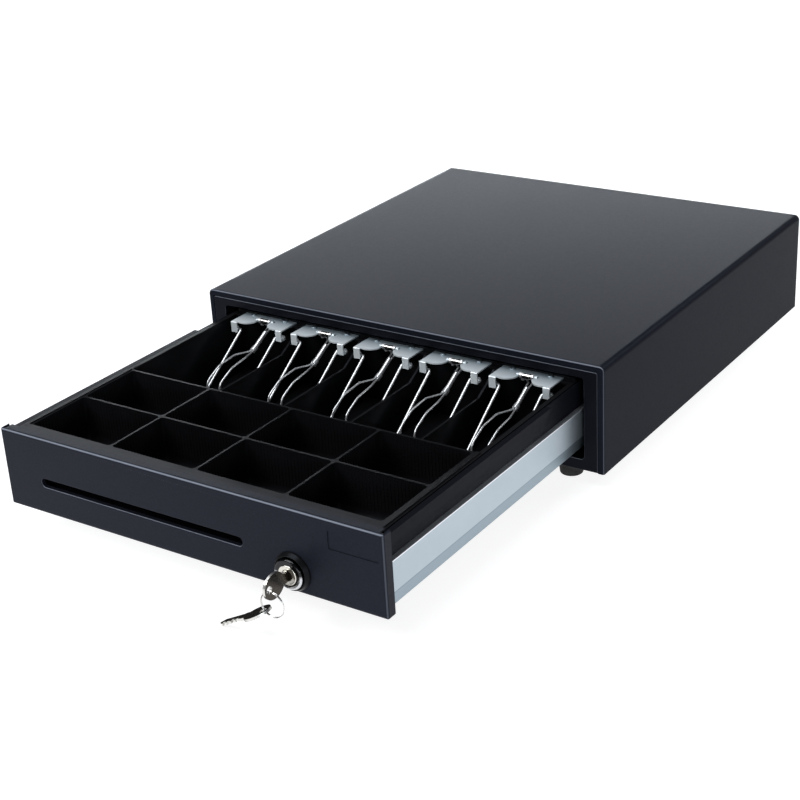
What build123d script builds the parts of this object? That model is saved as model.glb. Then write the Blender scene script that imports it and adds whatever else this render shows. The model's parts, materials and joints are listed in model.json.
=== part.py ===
from build123d import *
import os
from math import asin, cos, degrees, radians, sin

# A metal cash drawer for a till point: a folded steel case, a drawer on roller slides, a lock with its
# keys, a tray for notes with five wire clips, and a lift-out tray for coins.
#
# Frame: millimetres, +Z up, +Y from the front to the back, +X to the right as seen from the front.
# The origin is on the counter, under the centre of the case's footprint. The drawer is modelled open.

os.makedirs("parts", exist_ok=True)

# --- driving dimensions -------------------------------------------------------------------------
case_width = 410.0
case_depth = 420.0
case_height = 96.6
foot_height = 12.0
drawer_travel = 286.5

sheet = 1.2                  # steel sheet of the case, the panel and the slides
cover_bend = 5.0             # outside radius of the bends along the top of the cover
front_ring = 5.5             # width of the cover's rolled edge round the front

opening_width = 373.0
opening_height = 73.4
opening_drop = 13.2          # from the top of the case to the top of the opening
opening_round = 3.0
collar_depth = 14.5          # depth of the flange round the opening

panel_width = 369.5
panel_height = 68.0
panel_drop = 16.0
panel_return = 9.5           # depth of the flanges folded back round the panel

plastic = 2.0                # wall of the moulded trays
bill_pitch = 68.4
bill_count = 5
coin_pitch = 85.5
coin_columns = 4
coin_rows = 2

# --- places that follow from them ---------------------------------------------------------------
front_y = -case_depth / 2
back_y = case_depth / 2
base_z = foot_height
top_z = foot_height + case_height
inner_x = case_width / 2 - sheet
panel_y = front_y - drawer_travel
panel_top = top_z - panel_drop
panel_bottom = panel_top - panel_height
opening_top = top_z - opening_drop
opening_bottom = opening_top - opening_height
opening_middle = (opening_top + opening_bottom) / 2


def behind(distance):
    """The Y of a point this far behind the drawer panel's outer face."""
    return panel_y + distance


def below(distance):
    """The Z of a point this far below the top of the case."""
    return top_z - distance


def upright(y):
    """A sketch plane across the case at this Y, with local x to the right and local y up."""
    return Plane.XZ.offset(-y)


def lengthwise(x):
    """A sketch plane along the case at this X, with local x to the back and local y up."""
    return Plane.YZ.offset(x)


def block(low, high, mode=Mode.ADD):
    """A plain block between two opposite corners, in the part being built."""
    sides = [abs(b - a) for a, b in zip(low, high)]
    middle = [(a + b) / 2 for a, b in zip(low, high)]
    with Locations(tuple(middle)):
        Box(*sides, mode=mode)


def rod(start, end, radius, mode=Mode.ADD):
    """A round rod between two points, in the part being built."""
    run = Vector(*end) - Vector(*start)
    with Locations(Plane(origin=start, z_dir=run).location):
        Cylinder(radius, run.length, align=(Align.CENTER, Align.CENTER, Align.MIN), mode=mode)


def bent_wire(points, bends, radius):
    """A round wire along straight runs with these bend radii, in the part being built."""
    with BuildLine() as route:
        FilletPolyline(*points, radius=bends)
    with BuildSketch(Plane(origin=route.line @ 0, z_dir=route.line % 0)) as section:
        Circle(radius)
    sweep(section.sketch, path=route.line)


def save(piece, name):
    """Labels a finished piece and writes it as its own STEP file."""
    piece.part.label = name
    export_step(piece.part, f"parts/{name}.step")


# ================================================================================================
# The case
# ================================================================================================
rear_flange_y = back_y - 5.2         # front of the cover's rear flange, which carries the rear panel
rear_panel_y = back_y - 3.9
rear_flange_width = 12.0
side_flange_width = 12.0             # the cover's bottom flanges, which carry the base pan
pan_z = base_z + sheet + 0.1         # underside of the base pan

# --- cover: one sheet folded over the top and both sides ----------------------------------------
with BuildPart() as case_cover:
    with BuildSketch(upright(front_y)) as outside:
        with Locations((0, base_z + case_height / 2)):
            Rectangle(case_width, case_height)
        fillet(outside.vertices().group_by(Axis.Y)[-1], cover_bend)
    extrude(amount=-case_depth)
    with BuildSketch(upright(front_y)) as inside:
        with Locations((0, base_z + (case_height - sheet) / 2)):
            Rectangle(case_width - 2 * sheet, case_height - sheet)
        fillet(inside.vertices().group_by(Axis.Y)[-1], cover_bend - sheet)
    extrude(amount=-case_depth, mode=Mode.SUBTRACT)
    # the edge turned in round the front and the flange turned in round the back
    for edge_y, width in ((front_y, front_ring), (rear_flange_y, rear_flange_width)):
        with BuildSketch(upright(edge_y)) as ring:
            with Locations((0, base_z + case_height / 2)):
                Rectangle(case_width - sheet, case_height)
            fillet(ring.vertices().group_by(Axis.Y)[-1], cover_bend - sheet / 2)
            with Locations((0, base_z + (case_height - width) / 2)):
                Rectangle(case_width - 2 * width, case_height - width, mode=Mode.SUBTRACT)
        extrude(amount=-sheet)
    for side in (-1, 1):
        block((side * (inner_x - side_flange_width), front_y + 1.5, base_z),
              (side * (inner_x + 0.2), rear_flange_y, base_z + sheet))
    front_edges = case_cover.edges().filter_by(
        lambda e: abs(e.center().Y - front_y) < 0.01
        and e.center().Z > base_z + 1
        and (abs(e.center().X) > case_width / 2 - 3 or e.center().Z > top_z - 3)
    )
    fillet(front_edges, 1.8)
    screw_spots = [(-197.8, 35), (197.8, 35), (-197.8, 90), (197.8, 90), (-90, 101.4), (90, 101.4)]
    for x, z in screw_spots:
        rod((x, rear_flange_y - 1, z), (x, rear_flange_y + 3, z), 1.85, mode=Mode.SUBTRACT)
save(case_cover, "case_cover")

# --- base pan: floor sheet with turned-up edges and stiffening beads ----------------------------
foot_x = 167.0
foot_inset = 14.6
foot_spots = [(x, y) for x in (-foot_x, foot_x) for y in (front_y + foot_inset, back_y - foot_inset)]
foot_screw_radius = 2.0
pan_floor = pan_z + sheet
pan_front_y = front_y + sheet + 0.2
pan_back_y = rear_flange_y - 0.2
pan_x = inner_x - 0.2
pan_lip = 6.0                        # height of the edges turned up round the pan
with BuildPart() as base_pan:
    block((-pan_x, pan_front_y, pan_z), (pan_x, pan_back_y, pan_z + pan_lip))
    block((-pan_x + sheet, pan_front_y + sheet, pan_floor),
          (pan_x - sheet, pan_back_y - sheet, pan_z + pan_lip + 1), mode=Mode.SUBTRACT)
    for bead_y in (-110, 0, 90):
        block((-150, bead_y - 7, pan_floor - 0.2), (150, bead_y + 7, pan_floor + 2.4))
        block((-150 + sheet, bead_y - 7 + sheet, pan_z),
              (150 - sheet, bead_y + 7 - sheet, pan_floor + 2.4 - sheet), mode=Mode.SUBTRACT)
    for x, y in foot_spots:
        rod((x, y, pan_z - 1), (x, y, pan_floor + 1), foot_screw_radius + 0.05, mode=Mode.SUBTRACT)
save(base_pan, "base_pan")

# --- front frame: flat face with a collar round the drawer opening ------------------------------
frame_gap = 0.5                      # dark joint line between the cover's edge and the frame
frame_width = case_width - 2 * (front_ring + frame_gap)
frame_bottom = base_z + 0.2
frame_top = below(front_ring + frame_gap)
with BuildPart() as front_frame:
    with BuildSketch(upright(front_y)) as face:
        with Locations((0, (frame_bottom + frame_top) / 2)):
            Rectangle(frame_width, frame_top - frame_bottom)
        fillet(face.vertices().group_by(Axis.Y)[-1], 2.0)
        with Locations((0, opening_middle)):
            RectangleRounded(opening_width, opening_height, opening_round, mode=Mode.SUBTRACT)
    extrude(amount=-sheet)
    with BuildSketch(upright(front_y + 0.2)):
        with Locations((0, opening_middle)):
            RectangleRounded(opening_width + 2 * sheet, opening_height + 2 * sheet,
                             opening_round + sheet)
            RectangleRounded(opening_width, opening_height, opening_round, mode=Mode.SUBTRACT)
    extrude(amount=-(collar_depth - 0.2))
    fillet(front_frame.faces().sort_by(Axis.Y)[0].edges(), 0.8)
save(front_frame, "front_frame")

# --- rear panel: recessed back sheet with the socket's cut-out ----------------------------------
jack_x = 62.0
jack_z = 42.0
jack_width = 15.0
jack_height = 14.0
with BuildPart() as rear_panel:
    with BuildSketch(upright(rear_panel_y)):
        with Locations((0, (frame_bottom + top_z - 1.4) / 2)):
            Rectangle(2 * pan_x, top_z - 1.4 - frame_bottom)
        with Locations((jack_x, jack_z)):
            Rectangle(jack_width + 0.4, jack_height + 0.4, mode=Mode.SUBTRACT)
        with Locations(*screw_spots):
            Circle(1.85, mode=Mode.SUBTRACT)
    extrude(amount=-sheet)
    fillet(rear_panel.edges().filter_by(Axis.Y).group_by(Axis.Z)[-1], 3.6)
save(rear_panel, "rear_panel")

# --- feet and screws ----------------------------------------------------------------------------
foot_top_radius = 11.4
foot_bottom_radius = 9.8
head_recess_depth = 6.0
with BuildPart() as rubber_feet:
    for x, y in foot_spots:
        with BuildSketch(Plane.XZ.offset(-y)) as half:
            with BuildLine():
                Polyline((x, 0), (x + foot_bottom_radius, 0), (x + foot_top_radius, pan_z),
                         (x, pan_z), close=True)
            make_face()
            fillet(half.vertices().group_by(Axis.Y)[0].sort_by(Axis.X)[-1], 1.5)
        revolve(axis=Axis((x, y, 0), (0, 0, 1)))
        rod((x, y, -1), (x, y, head_recess_depth), 4.6, mode=Mode.SUBTRACT)
        rod((x, y, 0), (x, y, pan_z + 1), foot_screw_radius + 0.05, mode=Mode.SUBTRACT)
save(rubber_feet, "rubber_feet")

with BuildPart() as case_screws:
    for x, y in foot_spots:
        rod((x, y, head_recess_depth - 2.4), (x, y, head_recess_depth), 4.0)
        rod((x, y, head_recess_depth), (x, y, pan_floor + 4), foot_screw_radius)
        rod((x, y, head_recess_depth - 3), (x, y, head_recess_depth - 1), 1.2, mode=Mode.SUBTRACT)
    for x, z in screw_spots:
        rod((x, rear_panel_y + sheet, z), (x, rear_panel_y + sheet + 2, z), 3.4)
        rod((x, rear_flange_y - 5, z), (x, rear_panel_y + sheet, z), 1.75)
        block((x - 2.4, rear_panel_y + sheet + 1.2, z - 0.4),
              (x + 2.4, rear_panel_y + sheet + 2.4, z + 0.4), mode=Mode.SUBTRACT)
        block((x - 0.4, rear_panel_y + sheet + 1.2, z - 2.4),
              (x + 0.4, rear_panel_y + sheet + 2.4, z + 2.4), mode=Mode.SUBTRACT)
save(case_screws, "case_screws")

# ================================================================================================
# Roller slides: a channel in the case and a rail on the drawer, with one roller on each
# ================================================================================================
rail_web = 184.0                     # outer face of the drawer rail
rail_top = below(41.6)
rail_bottom = below(78.4)
rail_step = below(67.2)              # the ledge that the case's roller carries
rail_front_y = behind(panel_return + 0.4)
rail_back_y = behind(376.5)
lower_band = rail_web - 2.5          # outer face of the rail below the ledge

case_roller_radius = 8.0
drawer_roller_radius = 10.0
roller_gap = 0.3                     # between a roller and the track it runs on
bearing_gap = 0.06                   # radial clearance of a roller on its axle
axle_radius = 2.5

case_roller_y = front_y + 30.0
case_roller_z = rail_step - roller_gap - case_roller_radius
drawer_roller_y = behind(364.5)
drawer_roller_z = (rail_top + rail_step) / 2 + 0.2

channel_web = 196.2                  # inner face of the case channel's web
channel_lip = 188.0
channel_half = drawer_roller_radius + roller_gap
channel_front_y = front_y + 14.0
channel_back_y = 176.0

for side, name in ((-1, "left"), (1, "right")):
    with BuildPart() as cabinet_runner:
        block((side * channel_web, channel_front_y, drawer_roller_z - channel_half - sheet),
              (side * (channel_web + sheet), channel_back_y, drawer_roller_z + channel_half + sheet))
        for low in (drawer_roller_z - channel_half - sheet, drawer_roller_z + channel_half):
            block((side * channel_lip, channel_front_y, low),
                  (side * (channel_web + sheet), channel_back_y, low + sheet))
        # three legs stand on the base pan, and the front one carries a roller
        for leg_y, leg_width in ((case_roller_y, 24.0), (0.0, 24.0), (channel_back_y - 14, 24.0)):
            block((side * channel_web, leg_y - leg_width / 2, pan_floor + 0.1),
                  (side * (channel_web + sheet), leg_y + leg_width / 2, drawer_roller_z - channel_half))
            block((side * channel_web, leg_y - leg_width / 2, pan_floor + 0.1),
                  (side * (pan_x - sheet - 0.2), leg_y + leg_width / 2, pan_floor + 0.1 + sheet))
        # the tab that stops the open drawer, and the tab behind the closed drawer's bumper
        for tab_y in (drawer_roller_y - drawer_roller_radius - 2.4, channel_back_y - sheet):
            block((side * (channel_lip + 1), tab_y, drawer_roller_z - channel_half - 0.2),
                  (side * channel_web, tab_y + sheet, drawer_roller_z + channel_half + 0.2))
        rod((side * (channel_web - 1), case_roller_y, case_roller_z),
            (side * (channel_web + 3), case_roller_y, case_roller_z), axle_radius, mode=Mode.SUBTRACT)
    save(cabinet_runner, f"cabinet_runner_{name}")

    with BuildPart() as drawer_rail:
        with BuildSketch(upright(rail_front_y)):
            with BuildLine():
                Polyline(
                    (side * 179.6, rail_top),
                    (side * rail_web, rail_top),
                    (side * rail_web, rail_step),
                    (side * lower_band, rail_step),
                    (side * lower_band, rail_bottom),
                    (side * 179.6, rail_bottom),
                    (side * 179.6, rail_bottom + sheet),
                    (side * (lower_band - sheet), rail_bottom + sheet),
                    (side * (lower_band - sheet), rail_step + sheet),
                    (side * (rail_web - sheet), rail_step + sheet),
                    (side * (rail_web - sheet), rail_top - sheet),
                    (side * 179.6, rail_top - sheet),
                    close=True,
                )
            make_face()
        extrude(amount=-(rail_back_y - rail_front_y))
        rod((side * (rail_web - 3), drawer_roller_y, drawer_roller_z),
            (side * (rail_web + 2), drawer_roller_y, drawer_roller_z), axle_radius, mode=Mode.SUBTRACT)
    save(drawer_rail, f"drawer_rail_{name}")

    with BuildPart() as cabinet_roller:
        rod((side * (lower_band + 0.4), case_roller_y, case_roller_z),
            (side * rail_web, case_roller_y, case_roller_z), case_roller_radius)
        rod((side * rail_web, case_roller_y, case_roller_z),
            (side * (channel_web - 0.6), case_roller_y, case_roller_z), 4.5)
        rod((side * 180, case_roller_y, case_roller_z), (side * channel_web, case_roller_y, case_roller_z),
            axle_radius + bearing_gap, mode=Mode.SUBTRACT)
    save(cabinet_roller, f"cabinet_roller_{name}")

    with BuildPart() as drawer_roller:
        rod((side * (channel_lip + 1), drawer_roller_y, drawer_roller_z),
            (side * (channel_web - 0.8), drawer_roller_y, drawer_roller_z), drawer_roller_radius)
        rod((side * channel_lip, drawer_roller_y, drawer_roller_z),
            (side * channel_web, drawer_roller_y, drawer_roller_z),
            axle_radius + bearing_gap, mode=Mode.SUBTRACT)
        fillet(drawer_roller.edges().group_by(SortBy.LENGTH)[-1], 0.8)
    save(drawer_roller, f"drawer_roller_{name}")

with BuildPart() as cabinet_roller_axles:
    for side in (-1, 1):
        rod((side * (lower_band + 0.8), case_roller_y, case_roller_z),
            (side * (channel_web + sheet), case_roller_y, case_roller_z), axle_radius)
save(cabinet_roller_axles, "cabinet_roller_axles")

with BuildPart() as drawer_roller_axles:
    for side in (-1, 1):
        rod((side * (rail_web - sheet), drawer_roller_y, drawer_roller_z),
            (side * (channel_web - 0.4), drawer_roller_y, drawer_roller_z), axle_radius)
        rod((side * rail_web, drawer_roller_y, drawer_roller_z),
            (side * (channel_lip + 0.6), drawer_roller_y, drawer_roller_z), 4.5)
save(drawer_roller_axles, "drawer_roller_axles")

with BuildPart() as runner_bumpers:
    bumper_back_y = channel_back_y - sheet
    for side in (-1, 1):
        block((side * (channel_lip + 1.5), bumper_back_y - 8, drawer_roller_z - 8),
              (side * channel_web, bumper_back_y, drawer_roller_z + 8))
    chamfer(runner_bumpers.faces().filter_by(Axis.Y).group_by(Axis.Y)[0].edges(), 1.5)
save(runner_bumpers, "runner_bumpers")

# ================================================================================================
# Latch, solenoid and wiring at the back of the case
# ================================================================================================
closed_shift = drawer_travel
pan_rear_open = behind(300.5)                    # back of the drawer pan, with the drawer open
pan_rear_closed = pan_rear_open + closed_shift
tongue_z = 50.0
tongue_thick = 2.0
tongue_half = 10.0
tongue_length = 22.0
window_start = 10.0
window_end = 18.0

hook_pivot_y = pan_rear_closed + 47.5
hook_pivot_z = 58.0
hook_half = 2.0                                  # half the thickness of the hook
hook_turn = 12.0                                 # degrees from engaged to released
tail_arm = 20.0                                  # from the pivot to the solenoid's pin
button_arm = 11.0                                # from the pivot to the switch's button

cheek_inner = 6.0
bracket_front_y = hook_pivot_y - 24
bracket_back_y = hook_pivot_y + 7
bracket_top = 84.0

with BuildPart() as latch_bracket:
    for side in (-1, 1):
        block((side * cheek_inner, bracket_front_y, pan_floor + 0.1),
              (side * (cheek_inner + 1.5), bracket_back_y, bracket_top))
        block((side * cheek_inner, bracket_front_y, pan_floor + 0.1),
              (side * (cheek_inner + 14), bracket_back_y, pan_floor + 1.6))
    block((-cheek_inner - 1.5, bracket_front_y, bracket_top - 1.5),
          (cheek_inner + 1.5, bracket_back_y, bracket_top))
    rod((-10, hook_pivot_y, hook_pivot_z), (10, hook_pivot_y, hook_pivot_z), 2.5, mode=Mode.SUBTRACT)
save(latch_bracket, "latch_bracket")

with BuildPart() as latch_pin:
    rod((-cheek_inner - 1.5, hook_pivot_y, hook_pivot_z),
        (cheek_inner + 1.5, hook_pivot_y, hook_pivot_z), 2.5)
    rod((-cheek_inner - 3, hook_pivot_y, hook_pivot_z),
        (-cheek_inner - 1.5, hook_pivot_y, hook_pivot_z), 4.0)
save(latch_pin, "latch_pin")

nose_front = pan_rear_closed + window_start + 1.0
nose_back = pan_rear_closed + window_end - 1.0
arm_top = hook_pivot_z + 6.0
arm_bottom = hook_pivot_z - 4.0
tail_pin_y = hook_pivot_y + tail_arm
with BuildPart() as latch_hook:
    with BuildSketch(lengthwise(-hook_half)) as side_view:
        with BuildLine():
            Polyline(
                (nose_front - 1.0, arm_top),
                (nose_front - 1.0, tongue_z + tongue_thick + 2.5),
                (nose_front + 2.5, tongue_z - 3.5),
                (nose_back, tongue_z - 3.5),
                (nose_back, arm_bottom + 2.0),
                (hook_pivot_y - 8, arm_bottom + 1.0),
                (hook_pivot_y, arm_bottom - 1.0),
                (tail_pin_y + 3.0, hook_pivot_z - 3.0),
                (tail_pin_y + 3.0, hook_pivot_z + 3.0),
                (hook_pivot_y + 8, arm_top),
                close=True,
            )
        make_face()
        fillet(side_view.vertices().sort_by(Axis.X)[-2:], 2.0)
    extrude(amount=2 * hook_half)
    rod((-5, hook_pivot_y, hook_pivot_z), (5, hook_pivot_y, hook_pivot_z),
        2.5 + bearing_gap, mode=Mode.SUBTRACT)
    rod((-4.6, tail_pin_y, hook_pivot_z), (4.6, tail_pin_y, hook_pivot_z), 1.5)
save(latch_hook, "latch_hook")

solenoid_low = pan_floor + 0.1
solenoid_top = 44.0
with BuildPart() as solenoid_frame:
    block((-13, tail_pin_y - 12, solenoid_low), (13, tail_pin_y + 12, solenoid_top))
    block((-14, tail_pin_y - 10.4, solenoid_low + 1.6), (14, tail_pin_y + 10.4, solenoid_top - 1.6),
          mode=Mode.SUBTRACT)
    rod((0, tail_pin_y, solenoid_top - 3), (0, tail_pin_y, solenoid_top + 3), 5.6, mode=Mode.SUBTRACT)
save(solenoid_frame, "solenoid_frame")

with BuildPart() as solenoid_coil:
    rod((0, tail_pin_y, solenoid_low + 1.7), (0, tail_pin_y, solenoid_top - 1.7), 9.4)
    for low in (solenoid_low + 1.7, solenoid_top - 3.1):
        rod((0, tail_pin_y, low), (0, tail_pin_y, low + 1.4), 10.3)
    rod((0, tail_pin_y, solenoid_low + 3), (0, tail_pin_y, solenoid_top), 5.4, mode=Mode.SUBTRACT)
save(solenoid_coil, "solenoid_coil")

with BuildPart() as solenoid_plunger:
    rod((0, tail_pin_y, solenoid_top - 22), (0, tail_pin_y, hook_pivot_z + 5), 5.1)
    # slot for the hook's tail, and windows for the pin that crosses it
    block((-hook_half - 0.5, tail_pin_y - 6, hook_pivot_z - 9.5),
          (hook_half + 0.5, tail_pin_y + 6, hook_pivot_z + 6), mode=Mode.SUBTRACT)
    block((-6, tail_pin_y - 2.4, hook_pivot_z - 1.8), (6, tail_pin_y + 2.4, hook_pivot_z + 1.8),
          mode=Mode.SUBTRACT)
save(solenoid_plunger, "solenoid_plunger")

switch_y = hook_pivot_y - button_arm
switch_low = arm_top + 6.0
with BuildPart() as micro_switch:
    block((-3, switch_y - 4.2, switch_low), (3, switch_y + 13, bracket_top - 1.6))
    rod((0, switch_y, switch_low - 1), (0, switch_y, switch_low + 6), 1.7, mode=Mode.SUBTRACT)
    for hole_y in (switch_y + 4.5, switch_y + 10):
        rod((-4, hole_y, switch_low + 6), (4, hole_y, switch_low + 6), 0.9, mode=Mode.SUBTRACT)
save(micro_switch, "micro_switch")

with BuildPart() as switch_button:
    rod((0, switch_y, arm_top + 0.3), (0, switch_y, switch_low + 3.0), 1.5)
    fillet(switch_button.edges().sort_by(Axis.Z)[0], 0.8)
save(switch_button, "switch_button")

latch_spring_y = bracket_front_y + 4.6
with BuildPart() as latch_spring:
    rod((0, latch_spring_y, arm_top + 0.1), (0, latch_spring_y, bracket_top - 1.6), 3.4)
    rod((0, latch_spring_y, arm_top - 1), (0, latch_spring_y, bracket_top + 1), 2.6, mode=Mode.SUBTRACT)
save(latch_spring, "latch_spring")

# --- the spring that throws the drawer open, and its seat ---------------------------------------
ejector_x = -45.0
ejector_z = 45.0
ejector_seat_y = pan_rear_closed + 49.5
with BuildPart() as ejector_seat:
    block((ejector_x - 14, ejector_seat_y, pan_floor + 0.1),
          (ejector_x + 14, ejector_seat_y + 1.5, ejector_z + 14))
    block((ejector_x - 14, ejector_seat_y, pan_floor + 0.1),
          (ejector_x + 14, ejector_seat_y + 20, pan_floor + 1.6))
    rod((ejector_x, ejector_seat_y - 36, ejector_z), (ejector_x, ejector_seat_y + 1, ejector_z), 3.5)
    fillet(ejector_seat.faces().sort_by(Axis.Y)[0].edges(), 1.5)
save(ejector_seat, "ejector_seat")

with BuildPart() as ejector_spring:
    rod((ejector_x, ejector_seat_y - 78, ejector_z), (ejector_x, ejector_seat_y - 0.1, ejector_z), 7.0)
    rod((ejector_x, ejector_seat_y - 79, ejector_z), (ejector_x, ejector_seat_y + 1, ejector_z), 5.4,
        mode=Mode.SUBTRACT)
save(ejector_spring, "ejector_spring")

# --- socket for the till's cable, and the lead from it to the solenoid and the switch -----------
jack_depth = 16.0
jack_front_y = rear_panel_y + sheet + 1.2
with BuildPart() as jack_socket:
    block((jack_x - jack_width / 2, jack_front_y - jack_depth, jack_z - jack_height / 2),
          (jack_x + jack_width / 2, jack_front_y, jack_z + jack_height / 2))
    block((jack_x - jack_width / 2 - 1.5, rear_panel_y - 1.5, jack_z - jack_height / 2 - 1.5),
          (jack_x + jack_width / 2 + 1.5, rear_panel_y - 0.1, jack_z + jack_height / 2 + 1.5))
    # the opening takes a six-way modular plug, with a channel for its latch below
    block((jack_x - 4.9, jack_front_y - 12.5, jack_z - 2.0), (jack_x + 4.9, jack_front_y + 1, jack_z + 4.8),
          mode=Mode.SUBTRACT)
    block((jack_x - 1.7, jack_front_y - 11, jack_z - 5.0), (jack_x + 1.7, jack_front_y + 1, jack_z - 1.9),
          mode=Mode.SUBTRACT)
save(jack_socket, "jack_socket")

lead_radius = 1.6
lead_start_y = jack_front_y - jack_depth
lead_route = [
    (jack_x, lead_start_y, jack_z),
    (jack_x, lead_start_y - 14, jack_z),
    (jack_x - 12, lead_start_y - 18, jack_z - 22),
    (jack_x - 40, tail_pin_y + 4, jack_z - 25),
    (20.0, tail_pin_y, jack_z - 18),
    (9.7, tail_pin_y, jack_z - 18),
]
with BuildPart() as wiring_lead:
    bent_wire(lead_route, [6.0, 10.0, 10.0, 3.0], lead_radius)
save(wiring_lead, "wiring_lead")

# ================================================================================================
# The drawer
# ================================================================================================
lock_x = 103.5
lock_z = below(66.7)
lock_barrel_radius = 9.5
slot_x = -44.0
slot_z = below(55.7)
slot_length = 204.0
slot_height = 7.5
label_x = 158.5
label_z = below(32.0)

# --- front panel: folded sheet with the paper slot, label recess and lock hole ------------------
with BuildPart() as drawer_front:
    block((-panel_width / 2, panel_y, panel_bottom), (panel_width / 2, behind(panel_return), panel_top))
    fillet(drawer_front.faces().sort_by(Axis.Y)[0].edges(), 2.2)
    fillet(drawer_front.edges().filter_by(Axis.Y), 1.2)
    block((-panel_width / 2 + sheet, behind(sheet), panel_bottom + sheet),
          (panel_width / 2 - sheet, behind(panel_return + 1), panel_top - sheet), mode=Mode.SUBTRACT)
    with BuildSketch(upright(behind(panel_return - 5.5))):
        with Locations((slot_x, slot_z)):
            SlotOverall(slot_length + 2.4, slot_height + 2.4)
    extrude(amount=5.0 - sheet)
    with BuildSketch(upright(behind(panel_return))):
        with Locations((slot_x, slot_z)):
            SlotOverall(slot_length, slot_height)
    extrude(amount=panel_return + 1, mode=Mode.SUBTRACT)
    slot_rim = drawer_front.edges().filter_by(
        lambda e: abs(e.center().Y - panel_y) < 0.01 and abs(e.center().Z - slot_z) < slot_height
        and e.center().X < slot_x + slot_length / 2 + 1
        and e.center().X > slot_x - slot_length / 2 - 1
    )
    fillet(slot_rim, 0.8)
    with BuildSketch(upright(panel_y)):
        with Locations((label_x, label_z)):
            RectangleRounded(43.0, 15.0, 0.6)
    extrude(amount=-0.5, mode=Mode.SUBTRACT)
    rod((lock_x, panel_y - 1, lock_z), (lock_x, behind(3), lock_z), lock_barrel_radius + 0.1,
        mode=Mode.SUBTRACT)
    # relief notches where the top flange meets the side flanges
    for side in (-1, 1):
        block((side * (panel_width / 2 - sheet - 3.2), behind(2.6), panel_top - 2),
              (side * (panel_width / 2 - sheet), behind(panel_return + 1), panel_top + 1),
              mode=Mode.SUBTRACT)
save(drawer_front, "drawer_front")

# --- drawer pan: floor and four walls, with a folded rim along each side -------------------------
pan_wall_x = 179.5
drawer_pan_bottom = panel_bottom + 1.4
drawer_sheet = 1.0
drawer_bend = 5.0                    # outside radius of the bends along the bottom of the pan
pan_top = below(19.8)
rim_face = 183.6
rim_bottom = below(29.4)
pan_front_wall = behind(10.6)
cam_y = behind(15.6)
cam_thick = 2.0
with BuildPart() as drawer_pan:
    for inset, mode in ((0.0, Mode.ADD), (drawer_sheet, Mode.SUBTRACT)):
        with BuildSketch(upright(pan_front_wall + inset)) as pan_section:
            with Locations((0, (drawer_pan_bottom + pan_top + inset) / 2)):
                Rectangle(2 * (pan_wall_x - inset), pan_top - drawer_pan_bottom - inset)
            fillet(pan_section.vertices().group_by(Axis.Y)[0], drawer_bend - inset)
        extrude(amount=pan_front_wall - pan_rear_open + 2 * inset, mode=mode)
    block((-pan_wall_x + 4, pan_front_wall + 4, pan_top - 8), (pan_wall_x - 4, behind(302), pan_top + 1),
          mode=Mode.SUBTRACT)
    for side in (-1, 1):
        # the rim is folded outwards and down, and its rear end is cut back in two slopes
        with BuildSketch(lengthwise(side * (pan_wall_x - 0.2))):
            with BuildLine():
                Polyline((behind(9.7), pan_top), (behind(238.5), pan_top), (behind(233), rim_bottom + 5),
                         (behind(226), rim_bottom), (behind(9.7), rim_bottom), close=True)
            make_face()
        extrude(amount=side * (rim_face - pan_wall_x + 0.2))
        block((side * pan_wall_x, behind(9), rim_bottom - 1),
              (side * (rim_face - drawer_sheet), behind(245), pan_top - drawer_sheet), mode=Mode.SUBTRACT)
    with BuildSketch(upright(pan_front_wall - 1)):
        with Locations((slot_x, slot_z)):
            SlotOverall(slot_length + 4, slot_height + 3)
        with Locations((lock_x, lock_z)):
            Circle(lock_barrel_radius + 0.5)
    extrude(amount=-3, mode=Mode.SUBTRACT)
    # slot in the floor that the lock's cam swings through
    block((lock_x - 6, cam_y - 1, drawer_pan_bottom - 1),
          (lock_x + 23.5, cam_y + cam_thick + 1, drawer_pan_bottom + 2), mode=Mode.SUBTRACT)
save(drawer_pan, "drawer_pan")

# --- strike on the back of the drawer, which the latch hook holds -------------------------------
with BuildPart() as strike_plate:
    block((-16, pan_rear_open, tongue_z - 14), (16, pan_rear_open + 1.5, tongue_z + 14))
    block((-tongue_half, pan_rear_open, tongue_z),
          (tongue_half, pan_rear_open + tongue_length, tongue_z + tongue_thick))
    block((-5, pan_rear_open + window_start, tongue_z - 1),
          (5, pan_rear_open + window_end, tongue_z + tongue_thick + 1), mode=Mode.SUBTRACT)
    fillet(strike_plate.edges().filter_by(Axis.Z).group_by(Axis.Y)[-1], 3.0)
save(strike_plate, "strike_plate")

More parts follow.
